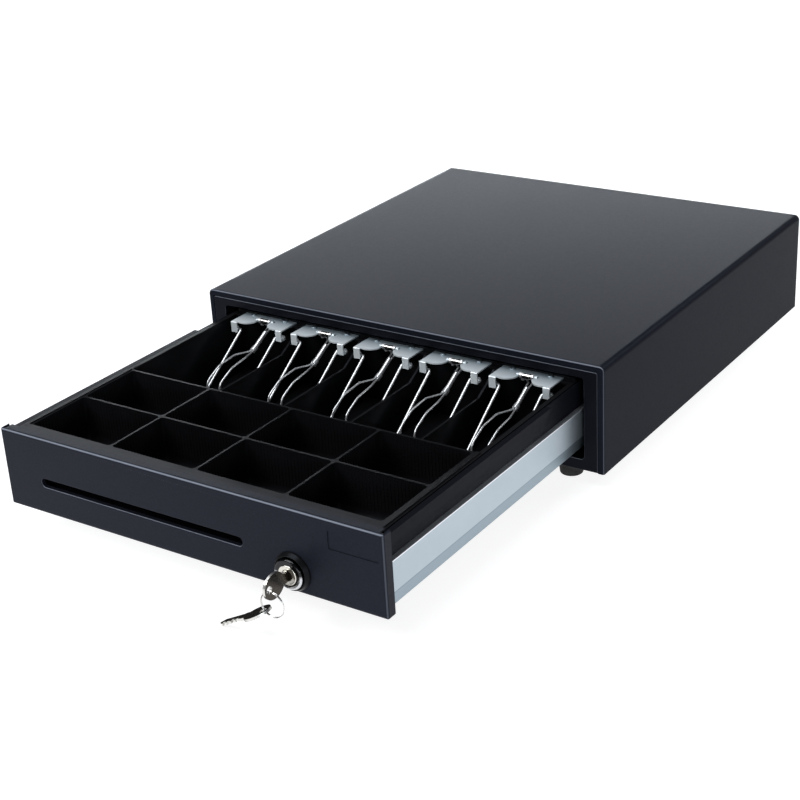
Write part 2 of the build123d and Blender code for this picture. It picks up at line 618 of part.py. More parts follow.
# --- cash tray: moulded box for the notes, open in front for the coin tray -----------------------
tray_half = 175.6
tray_top = below(19.5)
tray_front = behind(16.5)
tray_back = behind(294.5)
tray_bottom = drawer_pan_bottom + drawer_sheet + 0.2
tray_floor = below(77.3)
divider_top = below(37.0)
cross_wall_y = behind(143.4)
ledge_front_y = behind(286.0)
ledge_top = below(20.0)
clip_screw_x = 18.0                  # from the middle of each note clip's bracket
clip_screw_y = behind(289.2)
clip_screw_radius = 1.3
clip_centres = [(index - (bill_count - 1) / 2) * bill_pitch for index in range(bill_count)]
with BuildPart() as cash_tray:
    block((-tray_half, tray_front, tray_floor - plastic), (tray_half, tray_back, tray_top))
    block((-tray_half + plastic, tray_front + plastic, tray_floor),
          (tray_half - plastic, tray_back - plastic, tray_top + 1), mode=Mode.SUBTRACT)
    # rim turned outwards round the front and the sides, and the raised bar along the back
    block((-tray_half - 2.0, behind(12.4), tray_top - 1.6), (tray_half + 2.0, tray_front + 1, tray_top))
    for side in (-1, 1):
        block((side * (tray_half - 1), behind(12.4), tray_top - 1.6),
              (side * (tray_half + 2.0), tray_back, tray_top))
    block((-tray_half, tray_back - plastic, tray_top - 4), (tray_half, tray_back, below(17.0)))
    block((-tray_half + 1, ledge_front_y, ledge_top - plastic), (tray_half - 1, tray_back, ledge_top))
    # low wall that closes the note compartments when the coin tray is out
    block((-tray_half + 1, cross_wall_y, tray_floor - 1), (tray_half - 1, cross_wall_y + plastic, divider_top))
    for index in range(bill_count - 1):
        divider_x = (index - (bill_count - 2) / 2) * bill_pitch
        with BuildSketch(lengthwise(divider_x - plastic / 2)):
            with BuildLine():
                Polyline(
                    (cross_wall_y + 0.5, tray_floor - 1),
                    (cross_wall_y + 0.5, divider_top),
                    (behind(259.5), divider_top),
                    (behind(274.5), below(29.0)),
                    (ledge_front_y + 0.5, below(21.0)),
                    (tray_back - 0.5, below(21.0)),
                    (tray_back - 0.5, tray_floor - 1),
                    close=True,
                )
            make_face()
        extrude(amount=plastic)
    # feet that hold the floor off the drawer pan, so that slips of paper slide in under it
    for x in (-150, -50, 50, 150):
        for y in (behind(30), behind(150), behind(285)):
            block((x - 5, y - 5, tray_bottom), (x + 5, y + 5, tray_floor - 1))
    for centre in clip_centres:
        for x in (centre - clip_screw_x, centre + clip_screw_x):
            rod((x, clip_screw_y, ledge_top - 3), (x, clip_screw_y, ledge_top + 1), clip_screw_radius,
                mode=Mode.SUBTRACT)
    # window in the front wall for the lock's barrel and cam
    block((lock_x - 14, behind(12), tray_floor - plastic - 1), (lock_x + 30, behind(18.6), lock_z + 14),
          mode=Mode.SUBTRACT)
save(cash_tray, "cash_tray")

# --- coin tray: eight scooped cups in a moulding that lifts out ---------------------------------
coin_half = 173.2
coin_top = below(19.0)
coin_floor = below(62.0)
coin_front = behind(18.9)
coin_back = behind(143.0)
cup_front = behind(21.0)
cup_back = behind(141.0)
cup_split = behind(81.5)
cup_scoop = 13.0
cup_corner = 3.0
with BuildPart() as coin_tray:
    block((-coin_half, coin_front, coin_floor - plastic), (coin_half, coin_back, coin_top))
    fillet(coin_tray.faces().sort_by(Axis.Z)[0].edges().filter_by(Axis.X), cup_scoop)
    fillet(coin_tray.edges().filter_by(Axis.Z), 1.5)
    # rim over the cash tray's walls
    block((-coin_half - 2.6, behind(12.6), coin_top - 0.4), (coin_half + 2.6, coin_front + 1, coin_top + 0.8))
    for side in (-1, 1):
        block((side * (coin_half - 1), behind(12.6), coin_top - 0.4),
              (side * (coin_half + 2.6), coin_back, coin_top + 0.8))
    cup_width = coin_pitch - plastic
    row_ends = ((cup_front, cup_split - plastic / 2), (cup_split + plastic / 2, cup_back))
for column in range(coin_columns):
    for near, far in row_ends:
        with BuildPart(mode=Mode.PRIVATE) as cup:
            cup_x = (column - (coin_columns - 1) / 2) * coin_pitch
            block((cup_x - cup_width / 2, near, coin_floor), (cup_x + cup_width / 2, far, coin_top + 5))
            fillet(cup.edges().filter_by(Axis.Z), cup_corner)
            fillet(cup.faces().sort_by(Axis.Z)[0].edges(), cup_scoop - plastic - 1)
        coin_tray.part -= cup.part
save(coin_tray, "coin_tray")

# ================================================================================================
# Note clips: a bracket, a pin with its sleeve, a wire bail and a sprung lever for each compartment
# ================================================================================================
plate_top = below(18.8)
plate_thick = 1.2
plate_half = 28.5
tab_inner = 22.3
tab_front_y = behind(267.9)
tab_bottom = below(29.0)
plate_edge_y = behind(270.5)         # front edge of the plate between its tabs
slot_half = 7.2
slot_back_y = behind(286.0)
plate_back_y = behind(292.3)
pin_y = behind(282.5)
pin_z = below(19.4)
pin_radius = 0.8
knuckle_radius = 2.5
bail_y = behind(271.6)
bail_z = below(26.6)
bail_wire = 1.2
bail_leg_x = 20.0
bail_reach = 84.0
bail_slope = 34.5                    # degrees below the horizontal, at rest
lever_wire = 0.9
knuckle_start = 24.6


def along_bail(distance):
    """The Y and Z of a point this far down a bail's legs from its pivot."""
    slope = radians(bail_slope)
    return bail_y - distance * cos(slope), bail_z - distance * sin(slope)


for number, centre in enumerate(clip_centres, start=1):
    with BuildPart() as clip_bracket:
        with BuildSketch(Plane.XY.offset(plate_top)):
            with BuildLine():
                Polyline(
                    (centre - plate_half, plate_back_y),
                    (centre - plate_half, tab_front_y),
                    (centre - tab_inner, tab_front_y),
                    (centre - tab_inner, plate_edge_y),
                )
                Spline((centre - tab_inner, plate_edge_y), (centre - 14.5, plate_edge_y - 0.6),
                       (centre - 10.5, plate_edge_y + 1.6), (centre - slot_half, plate_edge_y + 6.5))
                Polyline(
                    (centre - slot_half, plate_edge_y + 6.5),
                    (centre - slot_half, slot_back_y),
                    (centre + slot_half, slot_back_y),
                    (centre + slot_half, plate_edge_y + 6.5),
                )
                Spline((centre + slot_half, plate_edge_y + 6.5), (centre + 10.5, plate_edge_y + 1.6),
                       (centre + 14.5, plate_edge_y - 0.6), (centre + tab_inner, plate_edge_y))
                Polyline(
                    (centre + tab_inner, plate_edge_y),
                    (centre + tab_inner, tab_front_y),
                    (centre + plate_half, tab_front_y),
                    (centre + plate_half, plate_back_y),
                    (centre - plate_half, plate_back_y),
                )
            make_face()
        extrude(amount=-plate_thick)
        for side in (-1, 1):
            block((centre + side * tab_inner, tab_front_y, tab_bottom),
                  (centre + side * plate_half, tab_front_y + plate_thick, plate_top))
            rod((centre + side * knuckle_start, bail_y, bail_z),
                (centre + side * plate_half, bail_y, bail_z), knuckle_radius)
            rod((centre + side * slot_half, pin_y, pin_z),
                (centre + side * (slot_half + 2.4), pin_y, pin_z), 1.9)
            rod((centre + side * (slot_half - 1), pin_y, pin_z),
                (centre + side * (slot_half + 4), pin_y, pin_z), pin_radius, mode=Mode.SUBTRACT)
            rod((centre + side * (knuckle_start - 1), bail_y, bail_z),
                (centre + side * (plate_half + 1), bail_y, bail_z),
                bail_wire + 0.08, mode=Mode.SUBTRACT)
            rod((centre + side * clip_screw_x, clip_screw_y, plate_top - 3),
                (centre + side * clip_screw_x, clip_screw_y, plate_top + 1), clip_screw_radius,
                mode=Mode.SUBTRACT)
        outer_edges = clip_bracket.edges().filter_by(
            lambda e: abs(e.center().Y - tab_front_y) < 0.01 and abs(e.center().Z - plate_top) < 0.01
        )
        fillet(outer_edges, 0.9)
    save(clip_bracket, f"clip_bracket_{number}")

    bail_end_y, bail_end_z = along_bail(bail_reach)
    with BuildPart() as bail:
        bent_wire(
            [
                (centre - plate_half - 1.5, bail_y, bail_z),
                (centre - bail_leg_x, bail_y, bail_z),
                (centre - bail_leg_x, bail_end_y, bail_end_z),
                (centre + bail_leg_x, bail_end_y, bail_end_z),
                (centre + bail_leg_x, bail_y, bail_z),
                (centre + plate_half + 1.5, bail_y, bail_z),
            ],
            [2.4, 5.0, 5.0, 2.4],
            bail_wire,
        )
    save(bail, f"bill_clip_bail_{number}")

    with BuildPart() as lever:
        for side in (-1, 1):
            eye_x = centre + side * 5.4
            rod((eye_x - 1.05, pin_y, pin_z), (eye_x + 1.05, pin_y, pin_z), 2.7)
            bent_wire(
                [
                    (eye_x, pin_y - 0.2, pin_z - 1.9),
                    (eye_x, pin_y + 0.8, below(23.9)),
                    (eye_x, pin_y + 8.0, below(25.4)),
                    (centre + side * 1.9, pin_y + 5.0, below(27.4)),
                    (centre + side * 1.1, pin_y - 6.0, below(31.6)),
                ],
                [1.2, 1.6, 1.6],
                lever_wire,
            )
            # the two prongs spread from the collar, run level and turn down onto the notes
            bent_wire(
                [
                    (centre + side * 1.1, behind(263.5), below(39.4)),
                    (centre + side * 1.7, behind(257.5), below(40.0)),
                    (centre + side * 6.4, behind(243.0), below(38.6)),
                    (centre + side * 7.0, behind(222.0), below(40.6)),
                    (centre + side * 7.0, behind(205.0), below(48.5)),
                    (centre + side * 7.0, behind(200.5), below(61.0)),
                    (centre + side * 7.0, behind(208.5), below(74.0)),
                ],
                [2.0, 12.0, 20.0, 9.0, 7.0],
                lever_wire,
            )
        rod((centre, pin_y - 1.5, below(29.8)), (centre, behind(264.5), below(38.6)), 2.1)
        rod((centre, behind(265.4), below(38.3)), (centre, behind(260.8), below(40.2)), 2.7)
        rod((centre - 7, pin_y, pin_z), (centre + 7, pin_y, pin_z), pin_radius + 0.08, mode=Mode.SUBTRACT)
        block((centre - 4.3, pin_y - 3, pin_z - 3), (centre + 4.3, pin_y + 3, pin_z + 3),
              mode=Mode.SUBTRACT)
    save(lever, f"bill_clip_lever_{number}")

# each pin carries a bright sleeve between the lever's two eyes
with BuildPart() as clip_pins:
    for centre in clip_centres:
        rod((centre - slot_half - 2.4, pin_y, pin_z), (centre + slot_half + 2.4, pin_y, pin_z), pin_radius)
        rod((centre - 4.1, pin_y, pin_z), (centre + 4.1, pin_y, pin_z), 2.3)
save(clip_pins, "clip_pins")

with BuildPart() as clip_screws:
    for centre in clip_centres:
        for side in (-1, 1):
            x = centre + side * clip_screw_x
            rod((x, clip_screw_y, ledge_top - 1.8), (x, clip_screw_y, plate_top), clip_screw_radius)
            rod((x, clip_screw_y, plate_top), (x, clip_screw_y, plate_top + 1.1), 2.4)
            block((x - 1.6, clip_screw_y - 0.3, plate_top + 0.6),
                  (x + 1.6, clip_screw_y + 0.3, plate_top + 2), mode=Mode.SUBTRACT)
    fillet(clip_screws.faces().filter_by(Axis.Z).group_by(Axis.Z)[-1].edges().filter_by(GeomType.CIRCLE), 0.4)
save(clip_screws, "clip_screws")

# ================================================================================================
# Lock, keys and key ring
# ================================================================================================
bezel_radius = 15.5
head_radius = 12.4
head_proud = 7.0
plug_radius = 8.0
plug_proud = 7.6


def lock_face(distance):
    """The Y of a point this far in front of the drawer panel."""
    return panel_y - distance


with BuildPart() as lock_bezel:
    with BuildSketch(Plane.XY.offset(lock_z)):
        with BuildLine():
            Polyline(
                (lock_x + lock_barrel_radius + 0.1, panel_y),
                (lock_x + bezel_radius, panel_y),
                (lock_x + bezel_radius, lock_face(1.2)),
                (lock_x + bezel_radius - 2.2, lock_face(5.4)),
                (lock_x + head_radius + 0.9, lock_face(5.4)),
                (lock_x + head_radius + 0.3, lock_face(1.8)),
                (lock_x + lock_barrel_radius + 0.1, lock_face(1.8)),
                close=True,
            )
        make_face()
    revolve(axis=Axis((lock_x, 0, lock_z), (0, 1, 0)))
    fillet(lock_bezel.edges().filter_by(lambda e: e.center().Y < panel_y - 5), 0.5)
save(lock_bezel, "lock_bezel")

with BuildPart() as lock_body:
    rod((lock_x, lock_face(head_proud), lock_z), (lock_x, lock_face(1.8), lock_z), head_radius)
    fillet(lock_body.faces().sort_by(Axis.Y)[0].edges(), 1.6)
    rod((lock_x, lock_face(1.8), lock_z), (lock_x, cam_y - 0.2, lock_z), lock_barrel_radius)
    rod((lock_x, lock_face(head_proud + 1), lock_z), (lock_x, cam_y + 1, lock_z),
        plug_radius + 0.06, mode=Mode.SUBTRACT)
save(lock_body, "lock_body")

with BuildPart() as lock_nut:
    with BuildSketch(upright(behind(sheet))):
        with Locations((lock_x, lock_z)):
            RegularPolygon(12.4, 6, major_radius=False)
            Circle(lock_barrel_radius, mode=Mode.SUBTRACT)
    extrude(amount=-4)
save(lock_nut, "lock_nut")

key_thick = 2.0
keyway_half = key_thick / 2 + 0.15
blade_half = 3.6
with BuildPart() as lock_plug:
    rod((lock_x, lock_face(plug_proud), lock_z), (lock_x, cam_y, lock_z), plug_radius)
    rod((lock_x, cam_y, lock_z), (lock_x, cam_y + cam_thick, lock_z), 3.0)
    fillet(lock_plug.faces().sort_by(Axis.Y)[0].edges(), 0.7)
    block((lock_x - keyway_half, lock_face(plug_proud + 1), lock_z - blade_half - 0.3),
          (lock_x + keyway_half, cam_y - 0.2, lock_z + blade_half + 0.3), mode=Mode.SUBTRACT)
save(lock_plug, "lock_plug")

cam_reach = 26.0
with BuildPart() as lock_cam:
    with BuildSketch(upright(cam_y)) as cam_shape:
        with Locations((lock_x, lock_z)):
            Circle(6.0)
        with BuildLine():
            Polyline((lock_x, lock_z - 5), (lock_x + cam_reach, lock_z - 4.0),
                     (lock_x + cam_reach, lock_z + 4.0), (lock_x, lock_z + 5), close=True)
        make_face()
        with Locations((lock_x, lock_z)):
            Circle(3.0, mode=Mode.SUBTRACT)
    extrude(amount=-cam_thick)
save(lock_cam, "lock_cam")

# --- the key in the lock and the spare: one outline, drawn along its own length ------------------
key_hole_radius = 3.0
hole_to_shoulder = 19.5
key_length = 44.3                    # from the middle of the hole to the tip
bow_half = 10.2


def key_outline():
    """A key lying along local +X from the middle of its hole, in the sketch being drawn."""
    with Locations((6.2, 0)):
        Ellipse(11.4, bow_half)
    with Locations((hole_to_shoulder - 2, 0)):
        Rectangle(7.0, 9.0)
    with Locations(((hole_to_shoulder + key_length) / 2, 0)):
        Rectangle(key_length - hole_to_shoulder, 2 * blade_half)
    Circle(key_hole_radius, mode=Mode.SUBTRACT)
    # cuts along the bitted edge, and the bevelled tip
    for place, depth in ((25.0, 1.6), (29.5, 2.4), (34.0, 1.2), (38.5, 2.0)):
        with Locations((place, blade_half)):
            Rectangle(2.6, 2 * depth, mode=Mode.SUBTRACT)
    for side in (-1, 1):
        with Locations(Location((key_length, side * blade_half, 0), (0, 0, 45))):
            Rectangle(4.4, 4.4, mode=Mode.SUBTRACT)


key_hole_y = behind(-29.3)
with BuildPart() as drawer_key:
    with BuildSketch(Plane(origin=(lock_x - key_thick / 2, key_hole_y, lock_z), x_dir=(0, 1, 0),
                           z_dir=(1, 0, 0))):
        key_outline()
    extrude(amount=key_thick)
save(drawer_key, "drawer_key")

ring_radius = 10.2
ring_wire = 0.9
ring_x = lock_x + 2.5
ring_z = lock_z - key_hole_radius + ring_wire + 0.35 - (ring_radius**2 - 2.5**2) ** 0.5
with BuildPart() as key_ring:
    with Locations(Location((ring_x, key_hole_y, ring_z), (90, 0, 0))):
        Torus(ring_radius, ring_wire)
save(key_ring, "key_ring")

# the spare hangs from the lower left of the ring, and its tip rests on the counter
spare_angle = radians(225)
wire_x = ring_x + ring_radius * cos(spare_angle)
wire_z = ring_z + ring_radius * sin(spare_angle)
spare_lift = key_thick / 2 + 0.7     # height of the tip's centre above the counter
spare_yaw = radians(184.0)           # direction of the blade, seen from above
spare_hang = key_hole_radius - ring_wire - 0.35
spare_drop = asin((wire_z - spare_lift) / (key_length + spare_hang))
spare_way = Vector(cos(spare_yaw) * cos(spare_drop), sin(spare_yaw) * cos(spare_drop), -sin(spare_drop))
spare_hole = Vector(wire_x, key_hole_y, wire_z) + spare_way * spare_hang
spare_normal = (Vector(0, 0, 1) - spare_way * spare_way.Z).normalized()
with BuildPart() as spare_key:
    with BuildSketch(Plane(origin=spare_hole - spare_normal * (key_thick / 2), x_dir=spare_way,
                           z_dir=spare_normal)):
        key_outline()
    extrude(amount=key_thick)
save(spare_key, "spare_key")
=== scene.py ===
import json
import math

import bmesh
import bpy
from mathutils import Matrix, Vector


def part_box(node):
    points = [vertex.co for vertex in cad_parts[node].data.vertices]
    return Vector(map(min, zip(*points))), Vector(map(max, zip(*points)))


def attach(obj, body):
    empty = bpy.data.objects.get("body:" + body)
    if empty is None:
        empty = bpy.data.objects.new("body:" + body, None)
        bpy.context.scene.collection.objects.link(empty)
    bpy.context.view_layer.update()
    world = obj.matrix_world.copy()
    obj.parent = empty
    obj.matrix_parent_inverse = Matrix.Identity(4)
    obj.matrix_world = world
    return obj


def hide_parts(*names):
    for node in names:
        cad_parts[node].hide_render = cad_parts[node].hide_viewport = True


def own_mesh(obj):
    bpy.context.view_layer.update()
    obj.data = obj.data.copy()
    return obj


# A till's cash drawer, pulled open on a pale studio floor. Lengths are in metres.

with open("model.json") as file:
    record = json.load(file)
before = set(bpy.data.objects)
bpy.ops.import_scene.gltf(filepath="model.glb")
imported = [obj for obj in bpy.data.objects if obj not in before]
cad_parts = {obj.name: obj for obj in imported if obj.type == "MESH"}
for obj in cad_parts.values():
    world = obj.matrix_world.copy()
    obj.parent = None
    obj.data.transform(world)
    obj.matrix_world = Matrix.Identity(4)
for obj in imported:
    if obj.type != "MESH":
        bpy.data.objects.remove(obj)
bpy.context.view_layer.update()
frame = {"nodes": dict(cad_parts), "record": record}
nodes = frame["nodes"]
scene = bpy.context.scene

FLOOR_HALF = 60.0                    # half the floor's side, far enough to reach the horizon
COOL_WHITE = (0.90, 0.95, 1.0)       # colour of the two long strip lights

RAIL_LIP = 0.0112                    # height of the drawer rails below their ledge
BRACKET_REFLECTION_FADE = 0.82                  # share of a clip bracket's depth over which its painted reflection has darkened fully
BRACKET_HIGHLIGHT_DEPTH = 0.0015              # depth of the painted highlight along a clip bracket's folded front

# colour of the painted dark reflection on the lock's head
PAINTED_DARK_REFLECTION = (0.035, 0.035, 0.037)
COAT_TINT = (0.55, 0.62, 1.0, 1)     # the powder coat's cool reflection
PLASTIC_TINT = (0.75, 0.85, 1.0, 1)  # the moulded plastic's cool reflection

EJECTOR_WIRE = 0.0008                # wire radius of the spring that throws the drawer open
EJECTOR_TURNS = 13
LATCH_WIRE = 0.0004                  # wire radius of the latch's return spring
LATCH_TURNS = 8
RING_TURNS = 1.85                    # how far round the split ring's wire is wound


# --- camera -------------------------------------------------------------------------------------
def add_camera():
    """A camera to the right of the drawer, above it, and tilted a little."""
    azimuth = math.radians(35.056)
    elevation = math.radians(24.565)
    roll = math.radians(3.395)
    look = Vector((-math.sin(azimuth) * math.cos(elevation),
                   math.cos(azimuth) * math.cos(elevation),
                   -math.sin(elevation)))
    level_right = Vector((math.cos(azimuth), math.sin(azimuth), 0.0))
    level_up = level_right.cross(look)
    right = level_right * math.cos(roll) - level_up * math.sin(roll)
    up = right.cross(look)
    data = bpy.data.cameras.new("camera")
    data.sensor_width = 36.0
    data.lens = 73.808
    data.clip_end = 200.0
    camera = bpy.data.objects.new("camera", data)
    camera.matrix_world = Matrix.Translation((0.7586, -1.2844, 0.6384)) @ Matrix(
        (right, up, -look)).transposed().to_4x4()
    scene.collection.objects.link(camera)
    scene.camera = camera


# --- studio -------------------------------------------------------------------------------------
def add_area_light(name, place, target, size, power, colour=(1, 1, 1)):
    """A rectangular softbox at a place, facing a target."""
    data = bpy.data.lights.new(name, "AREA")
    data.shape = "RECTANGLE"
    data.size, data.size_y = size
    data.energy = power
    data.color = colour
    light = bpy.data.objects.new(name, data)
    light.location = place
    light.rotation_euler = (Vector(target) - Vector(place)).to_track_quat("-Z", "Y").to_euler()
    scene.collection.objects.link(light)


def add_studio():
    """A white floor that carries its own light, a dim surround and five softboxes."""
    mesh = bpy.data.meshes.new("floor")
    maker = bmesh.new()
    bmesh.ops.create_grid(maker, x_segments=1, y_segments=1, size=FLOOR_HALF)
    maker.to_mesh(mesh)
    maker.free()
    floor = bpy.data.objects.new("floor", mesh)
    scene.collection.objects.link(floor)
    paint = bpy.data.materials.new("floor_paint")
    paint.use_nodes = True
    shader = paint.node_tree.nodes["Principled BSDF"]
    shader.inputs["Base Color"].default_value = (0.30, 0.30, 0.31, 1)
    shader.inputs["Roughness"].default_value = 0.7
    shader.inputs["Emission Color"].default_value = (1, 1, 1, 1)
    shader.inputs["Emission Strength"].default_value = 0.88
    mesh.materials.append(paint)
    world = bpy.data.worlds.new("surround")
    world.use_nodes = True
    world.node_tree.nodes["Background"].inputs["Color"].default_value = (0.86, 0.92, 1.0, 1)
    world.node_tree.nodes["Background"].inputs["Strength"].default_value = 0.14
    scene.world = world
    # the strips show in the case's lid, the overhead box lights the trays, the edge boxes the corners
    add_area_light("back_strip", (-2.2, 3.7, 0.30), (0, 0, 0.1), (5.5, 0.5), 290, COOL_WHITE)
    add_area_light("overhead_box", (-0.3, -0.6, 2.4), (0, -0.3, 0), (1.6, 1.6), 36, (0.95, 0.97, 1.0))
    add_area_light("front_edge_box", (-1.15, -1.9, 1.75), (0, -0.45, 0.1), (1.6, 0.5), 30)
    add_area_light("front_strip", (2.9, -2.9, 0.85), (0, 0, 0.1), (5.5, 0.6), 45, COOL_WHITE)
    add_area_light("right_edge_box", (1.25, 1.85, 1.4), (0.2, 0, 0.1), (1.4, 0.4), 14)
    scene.view_settings.view_transform = "Standard"


# --- materials ----------------------------------------------------------------------------------
class Finish:
    """A procedural material being built round one Principled shader."""

    def __init__(self, name):
        self.material = bpy.data.materials.new(name)
        self.material.use_nodes = True
        self.tree = self.material.node_tree
        self.shader = self.tree.nodes["Principled BSDF"]
        self.coordinates = self.tree.nodes.new("ShaderNodeTexCoord").outputs["Object"]

    def node(self, kind, **settings):
        """A new node of this kind, with these settings."""
        made = self.tree.nodes.new(kind)
        for key, value in settings.items():
            setattr(made, key, value)
        return made

    def link(self, start, end):
        self.tree.links.new(start, end)

    def set(self, socket, value):
        """Sets a constant on one of the shader's own sockets."""
        self.shader.inputs[socket].default_value = value

    def stretched(self, scale):
        """The object's coordinates, in metres, multiplied by these three scales."""
        mapping = self.node("ShaderNodeMapping")
        mapping.inputs["Scale"].default_value = scale
        self.link(self.coordinates, mapping.inputs["Vector"])
        return mapping.outputs["Vector"]

    def noise(self, scale, detail=3.0, roughness=0.5, stretch=None):
        """Noise in the object's coordinates, stretched first if asked."""
        made = self.node("ShaderNodeTexNoise")
        made.inputs["Scale"].default_value = scale
        made.inputs["Detail"].default_value = detail
        made.inputs["Roughness"].default_value = roughness
        self.link(self.stretched(stretch) if stretch else self.coordinates, made.inputs["Vector"])
        return made.outputs["Fac"]

    def ramp(self, value, low, high, from_low=0.3, from_high=0.7):
        """A value spread between two numbers."""
        made = self.node("ShaderNodeMapRange")
        made.inputs["From Min"].default_value = from_low
        made.inputs["From Max"].default_value = from_high
        made.inputs["To Min"].default_value = low
        made.inputs["To Max"].default_value = high
        self.link(value, made.inputs["Value"])
        return made.outputs["Result"]

    def mottle(self, scale, detail=3.0, roughness=0.5):
        """Noise spread over 0 to 1, for mixing two colours."""
        return self.ramp(self.noise(scale, detail, roughness), 0, 1)

    def normal(self):
        """The surface's direction in the object's own axes."""
        return self.node("ShaderNodeTexCoord").outputs["Normal"]

    def tint(self, value, first, second):
        """A colour mixed from two by a value, put on the shader's base colour."""
        made = self.node("ShaderNodeMix", data_type="RGBA")
        for letter, colour in (("A", first), ("B", second)):
            socket = [s for s in made.inputs if s.name == letter and s.type == "RGBA"][0]
            if isinstance(colour, tuple):
                socket.default_value = (*colour, 1)
            else:
                self.link(colour, socket)
        self.link(value, made.inputs["Factor"])
        result = [s for s in made.outputs if s.type == "RGBA"][0]
        self.link(result, self.shader.inputs["Base Color"])
        return result

    def part_of(self, source, axis, low, high):
        """One axis of a coordinate output, spread from 0 at low to 1 at high."""
        split = self.node("ShaderNodeSeparateXYZ")
        self.link(source, split.inputs["Vector"])
        return self.ramp(split.outputs[axis], 0.0, 1.0, low, high)

    def rough(self, value, low, high):
        """Roughness spread between two numbers by a value."""
        self.link(self.ramp(value, low, high), self.shader.inputs["Roughness"])

    def bump(self, height, distance, strength=1.0):
        """A bump of this depth, in metres."""
        made = self.node("ShaderNodeBump")
        made.inputs["Strength"].default_value = strength
        made.inputs["Distance"].default_value = distance
        self.link(height, made.inputs["Height"])
        self.link(made.outputs["Normal"], self.shader.inputs["Normal"])

    def drawn(self, stretch, low, high, depth=0.000004):
        """The lines that rolling or drawing leaves in a metal, in its roughness and its bump."""
        lines = self.noise(1.0, 4.0, 0.7, stretch=stretch)
        self.rough(lines, low, high)
        self.bump(lines, depth, 0.6)


def powder_coat(name, dark, light, low, high, grain, height, gloss, edge_highlight=(0.20, 0.22, 0.26)):
    """Textured powder coat: a fine hard grain, with a painted highlight along the edges round the front.
    """
    f = Finish(name)
    speckle = f.mottle(grain * 0.7, 2.0)
    normal = f.normal()
    sideways = f.node("ShaderNodeVectorMath", operation="ABSOLUTE")
    f.link(normal, sideways.inputs[0])
    upright = f.node("ShaderNodeMath", operation="MULTIPLY_ADD")
    upright.inputs[1].default_value = 0.35
    f.link(f.part_of(sideways.outputs["Vector"], "X", 0.35, 0.65), upright.inputs[0])
    f.link(f.part_of(normal, "Z", 0.35, 0.65), upright.inputs[2])
    # painted highlight: a pale colour on the edges that turn to the front and up, or to the front and
    # sideways
    edge = f.node("ShaderNodeMath", operation="MULTIPLY")
    f.link(upright.outputs["Value"], edge.inputs[0])
    f.link(f.part_of(normal, "Y", -0.35, -0.65), edge.inputs[1])
    f.tint(edge.outputs["Value"], f.tint(speckle, dark, light), edge_highlight)
    f.rough(f.noise(grain * 0.3, 3.0), low, high)
    f.bump(f.noise(grain, 2.0, 0.6), height)
    f.set("Specular IOR Level", gloss)
    f.set("Specular Tint", COAT_TINT)
    return f.material


def moulded(name, dark, light, low, high, grain=1800.0, height=0.00002):
    """Moulded plastic with a fine spark-eroded grain."""
    f = Finish(name)
    f.tint(f.mottle(14.0), dark, light)
    f.rough(f.noise(60.0, 4.0), low, high)
    f.bump(f.noise(grain, 2.0), height, 0.8)
    f.set("Specular IOR Level", 0.12)
    f.set("Specular Tint", PLASTIC_TINT)
    return f.material


def plated(name, dark, light, low, high, stretch, height=0.000004, metal=1.0):
    """Plated steel with the drawn or rolled lines left under the plating."""
    f = Finish(name)
    f.set("Metallic", metal)
    f.tint(f.mottle(30.0, 5.0, 0.6), dark, light)
    f.drawn(stretch, low, high, height)
    return f.material


def rail_look(name):
    """Zinc plate on the drawer's rails: a painted highlight along the top edge, a painted shade band over
    the ledge, duller below.
    """
    low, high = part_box("drawer_rail_right")
    f = Finish(name)
    f.set("Metallic", 1.0)
    plate = f.tint(f.mottle(30.0, 5.0, 0.6), (0.44, 0.51, 0.56), (0.47, 0.54, 0.59))
    ledge = low[2] + RAIL_LIP
    # painted shade: a dark band along the rail just over its ledge
    ledge_shade_mask = f.part_of(f.coordinates, "Z", ledge + 0.0009, ledge + 0.0003)
    plate_with_ledge_shade = f.tint(ledge_shade_mask, plate, (0.20, 0.26, 0.31))
    below_ledge = f.part_of(f.coordinates, "Z", ledge + 0.0002, ledge - 0.0004)
    lip = f.tint(below_ledge, plate_with_ledge_shade, (0.31, 0.38, 0.43))
    # painted highlight: a pale band along the rail's top edge
    edge = f.part_of(f.coordinates, "Z", high[2] - 0.0011, high[2] - 0.0007)
    f.tint(edge, lip, (0.85, 0.88, 0.92))
    f.drawn((2600.0, 26.0, 2600.0), 0.40, 0.46)
    return f.material


def bracket_look(name):
    """Zinc plate on a clip bracket with a painted reflection: a painted highlight on its folded front,
    darkening toward the rear where it would mirror the dark case above.
    """
    low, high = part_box("clip_bracket_1")
    f = Finish(name)
    f.set("Metallic", 0.40)
    # painted reflection: the dark colour stands for the dark case mirrored toward the rear, the pale one
    # for a highlight on the front fold
    dark = f.tint(f.mottle(30.0, 5.0, 0.6), (0.24, 0.30, 0.34), (0.31, 0.37, 0.41))
    highlight_plate = f.tint(f.mottle(45.0, 4.0, 0.6), (0.84, 0.92, 0.96), (0.92, 0.97, 0.99))
    rear = low[1] + BRACKET_REFLECTION_FADE * (high[1] - low[1])
    f.tint(f.part_of(f.coordinates, "Y", rear, low[1] + BRACKET_HIGHLIGHT_DEPTH), dark, highlight_plate)
    f.drawn((1200.0, 60.0, 1200.0), 0.34, 0.42)
    return f.material


def rubber(name):
    """Dull black rubber with a coarse skin."""
    f = Finish(name)
    f.tint(f.mottle(80.0), (0.004, 0.004, 0.004), (0.009, 0.009, 0.009))
    f.rough(f.noise(300.0), 0.7, 0.9)
    f.bump(f.noise(2200.0, 2.0), 0.00004, 0.8)
    return f.material


